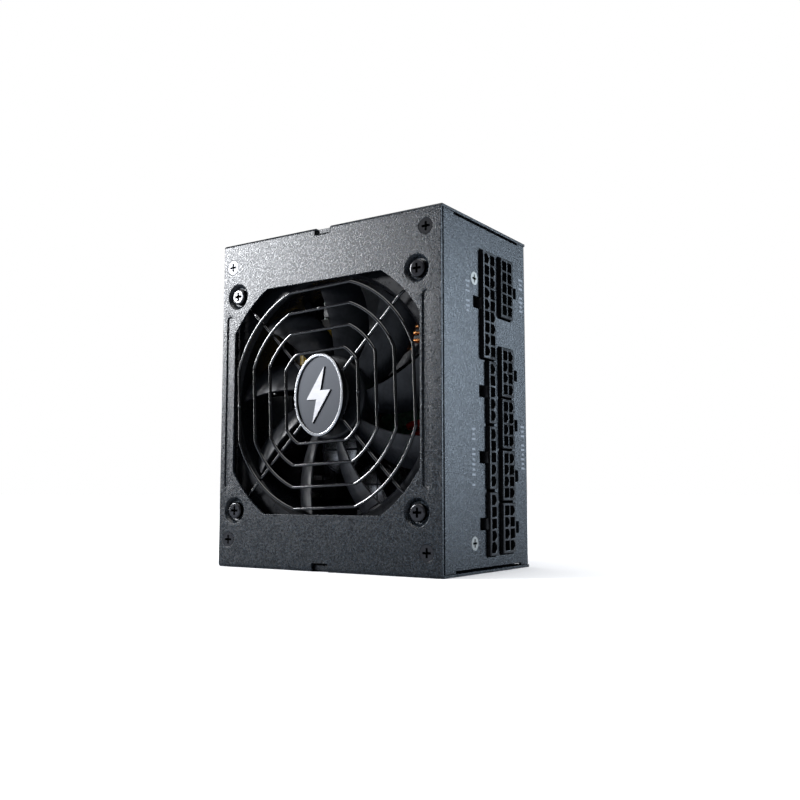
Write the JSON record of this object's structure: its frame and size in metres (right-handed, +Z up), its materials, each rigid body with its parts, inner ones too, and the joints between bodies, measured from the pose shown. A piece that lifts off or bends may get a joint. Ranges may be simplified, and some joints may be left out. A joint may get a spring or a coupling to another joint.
{
  "type": "power supply unit",
  "caption": "Compact modular computer power supply in a black sheet-metal case, with a guarded square-mouthed fan face and rows of walled output sockets on one end.",
  "frame": {"origin": "centre of the bottom face that the unit stands on", "axes": "-Y is the fan face, +X the output sockets, -X the mains side, +Y the plain back with the label, +Z up along the long side"},
  "size_m": [0.1034, 0.0644, 0.125],
  "materials": {
    "case_paint": "fine textured powder coat, satin",
    "black_screw": "glossy black plating",
    "bright_screw": "bright nickel plating",
    "label_film": "satin printed film",
    "guard_wire": "glossy black coat",
    "badge_metal": "brushed grey field, bright rim",
    "emblem_metal": "polished",
    "fan_plastic": "glossy moulding",
    "socket_plastic": "satin glass-filled nylon",
    "inlet_plastic": "satin moulding",
    "tinned_contact": "tin plate",
    "plain_steel": "turned and plated",
    "bearing_bronze": "sintered bronze",
    "circuit_board": "solder mask over glass laminate",
    "insulation_film": "thin polycarbonate film",
    "capacitor_sleeve": "shrink sleeve over an aluminium can",
    "capacitor_can": "bare can with a printed mark",
    "yellow_tape": "polyester tape",
    "ferrite": "ground ferrite",
    "copper_wire": "enamelled copper",
    "heat_sink_metal": "extruded, mill finish",
    "black_epoxy": "moulded epoxy",
    "black_lead": "soft insulation",
    "red_lead": "soft insulation",
    "white_nylon": "natural nylon"
  },
  "bodies": {
    "case": {"badge_emblem": "emblem_metal", "badge_plate": "badge_metal", "base_shell": "case_paint", "board_screws": "bright_screw", "board_standoffs": "plain_steel", "bridge_rectifier": "black_epoxy", "bulk_capacitors": "capacitor_sleeve", "cover_screws": "black_screw", "fan_bearing": "bearing_bronze", "fan_coils": "copper_wire", "fan_cover": "case_paint", "fan_frame": "fan_plastic", "fan_leads": "black_lead", "fan_motor_board": "circuit_board", "fan_plug": "white_nylon", "fan_screws": "black_screw", "fan_stator": "plain_steel", "film_capacitors": "black_epoxy", "filter_choke_core": "ferrite", "filter_choke_winding": "copper_wire", "grille_disc": "guard_wire", "grille_rings": "guard_wire", "grille_spokes": "guard_wire", "inlet_housing": "inlet_plastic", "inlet_pins": "tinned_contact", "inlet_screws": "black_screw", "insulation_sheet": "insulation_film", "main_board": "circuit_board", "mains_leads": "black_lead", "output_capacitors": "capacitor_can", "output_choke_core": "ferrite", "output_choke_winding": "copper_wire", "output_leads": "red_lead", "pfc_inductor_core": "ferrite", "pfc_inductor_winding": "yellow_tape", "power_transistors": "black_epoxy", "primary_heatsink": "heat_sink_metal", "secondary_heatsink": "heat_sink_metal", "socket_10p": "socket_plastic", "socket_18p": "socket_plastic", "socket_5p_1": "socket_plastic", "socket_5p_2": "socket_plastic", "socket_5p_3": "socket_plastic", "socket_8p_1": "socket_plastic", "socket_8p_2": "socket_plastic", "socket_8p_3": "socket_plastic", "socket_8p_4": "socket_plastic", "socket_board": "circuit_board", "socket_board_screws": "bright_screw", "socket_board_spacers": "plain_steel", "socket_pins": "tinned_contact", "spec_label": "label_film", "switch_housing": "inlet_plastic", "switch_terminals": "tinned_contact", "transformer_core": "ferrite", "transformer_winding": "insulation_film"},
    "fan_rotor": {"fan_rotor": "fan_plastic", "fan_shaft": "plain_steel", "fan_magnet_ring": "ferrite"},
    "switch_rocker": {"switch_rocker": "inlet_plastic"}
  },
  "joints": [
    {"name": "fan_spin", "type": "hinge", "parent": "case", "child": "fan_rotor", "pos_m": [-0.001, 0, 0.0625], "axis": [0, 1, 0], "continuous": true},
    {"name": "power_switch_rock", "type": "hinge", "parent": "case", "child": "switch_rocker", "pos_m": [-0.0486, 0.002, 0.0605], "axis": [0, 0, -1], "range_deg": [0, 20]}
  ]
}
